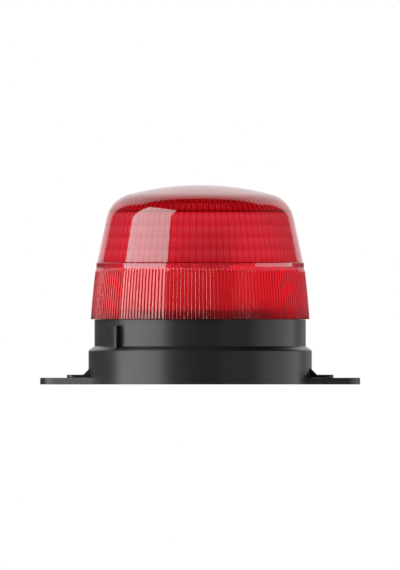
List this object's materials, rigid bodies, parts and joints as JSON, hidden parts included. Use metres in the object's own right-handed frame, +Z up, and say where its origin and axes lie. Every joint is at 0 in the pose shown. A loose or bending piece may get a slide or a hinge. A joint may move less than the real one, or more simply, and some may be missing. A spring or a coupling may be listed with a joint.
{
  "type": "flashing warning light",
  "caption": "Round red flashing warning light on a black two-eared base, with a reeded twist-off lens over an LED lamp column and a driver board.",
  "frame": {"origin": "centre of the mounting plane, under the middle of the drum", "axes": "+Z up out of the mounting plane through the lens, +X along the two ears, -Y is the front"},
  "size_m": [0.176, 0.1228, 0.1098],
  "materials": {
    "housing_black": "satin moulded",
    "seal_rubber": "matte",
    "lens_red": "clear gloss",
    "board_green": "solder mask",
    "screw_steel": "zinc plated",
    "terminal_green": "moulded",
    "clamp_brass": "plated",
    "sleeve_black": "shrunk sleeve",
    "ferrite": "matte",
    "copper": "enamelled",
    "varistor_blue": "dipped",
    "package_black": "moulded",
    "connector_ivory": "moulded",
    "wire_grey": "jacket",
    "deck_white": "moulded",
    "column_aluminium": "extruded",
    "strip_white": "solder mask",
    "led_clear": "clear"
  },
  "bodies": {
    "base": {"base_housing": "housing_black", "base_gasket": "seal_rubber", "cable_grommet": "seal_rubber", "lens_seal": "seal_rubber", "driver_board": "board_green", "board_screws": "screw_steel", "deck_screws": "screw_steel", "column_screws": "screw_steel", "strip_screws": "screw_steel", "top_screws": "screw_steel", "terminal_screws": "screw_steel", "terminal_block": "terminal_green", "terminal_clamps": "clamp_brass", "storage_capacitors": "sleeve_black", "choke_core": "ferrite", "choke_winding": "copper", "surge_varistor": "varistor_blue", "bridge_rectifier": "package_black", "driver_chip": "package_black", "power_switch": "package_black", "board_header": "connector_ivory", "harness_plug": "connector_ivory", "lamp_wires": "wire_grey", "light_deck": "deck_white", "lamp_column": "column_aluminium", "led_strip_1": "strip_white", "led_strip_2": "strip_white", "led_strip_3": "strip_white", "led_strip_4": "strip_white", "led_strip_5": "strip_white", "led_strip_6": "strip_white", "led_top_board": "strip_white", "strip_leds": "led_clear", "top_leds": "led_clear"},
    "lens": {"lens_band": "lens_red", "lens_dome": "lens_red"}
  },
  "joints": [
    {"name": "lens_twist", "type": "hinge", "parent": "base", "child": "lens", "pos_m": [0, 0, 0.036], "axis": [0, 0, 1], "range_deg": [0, 22]}
  ]
}
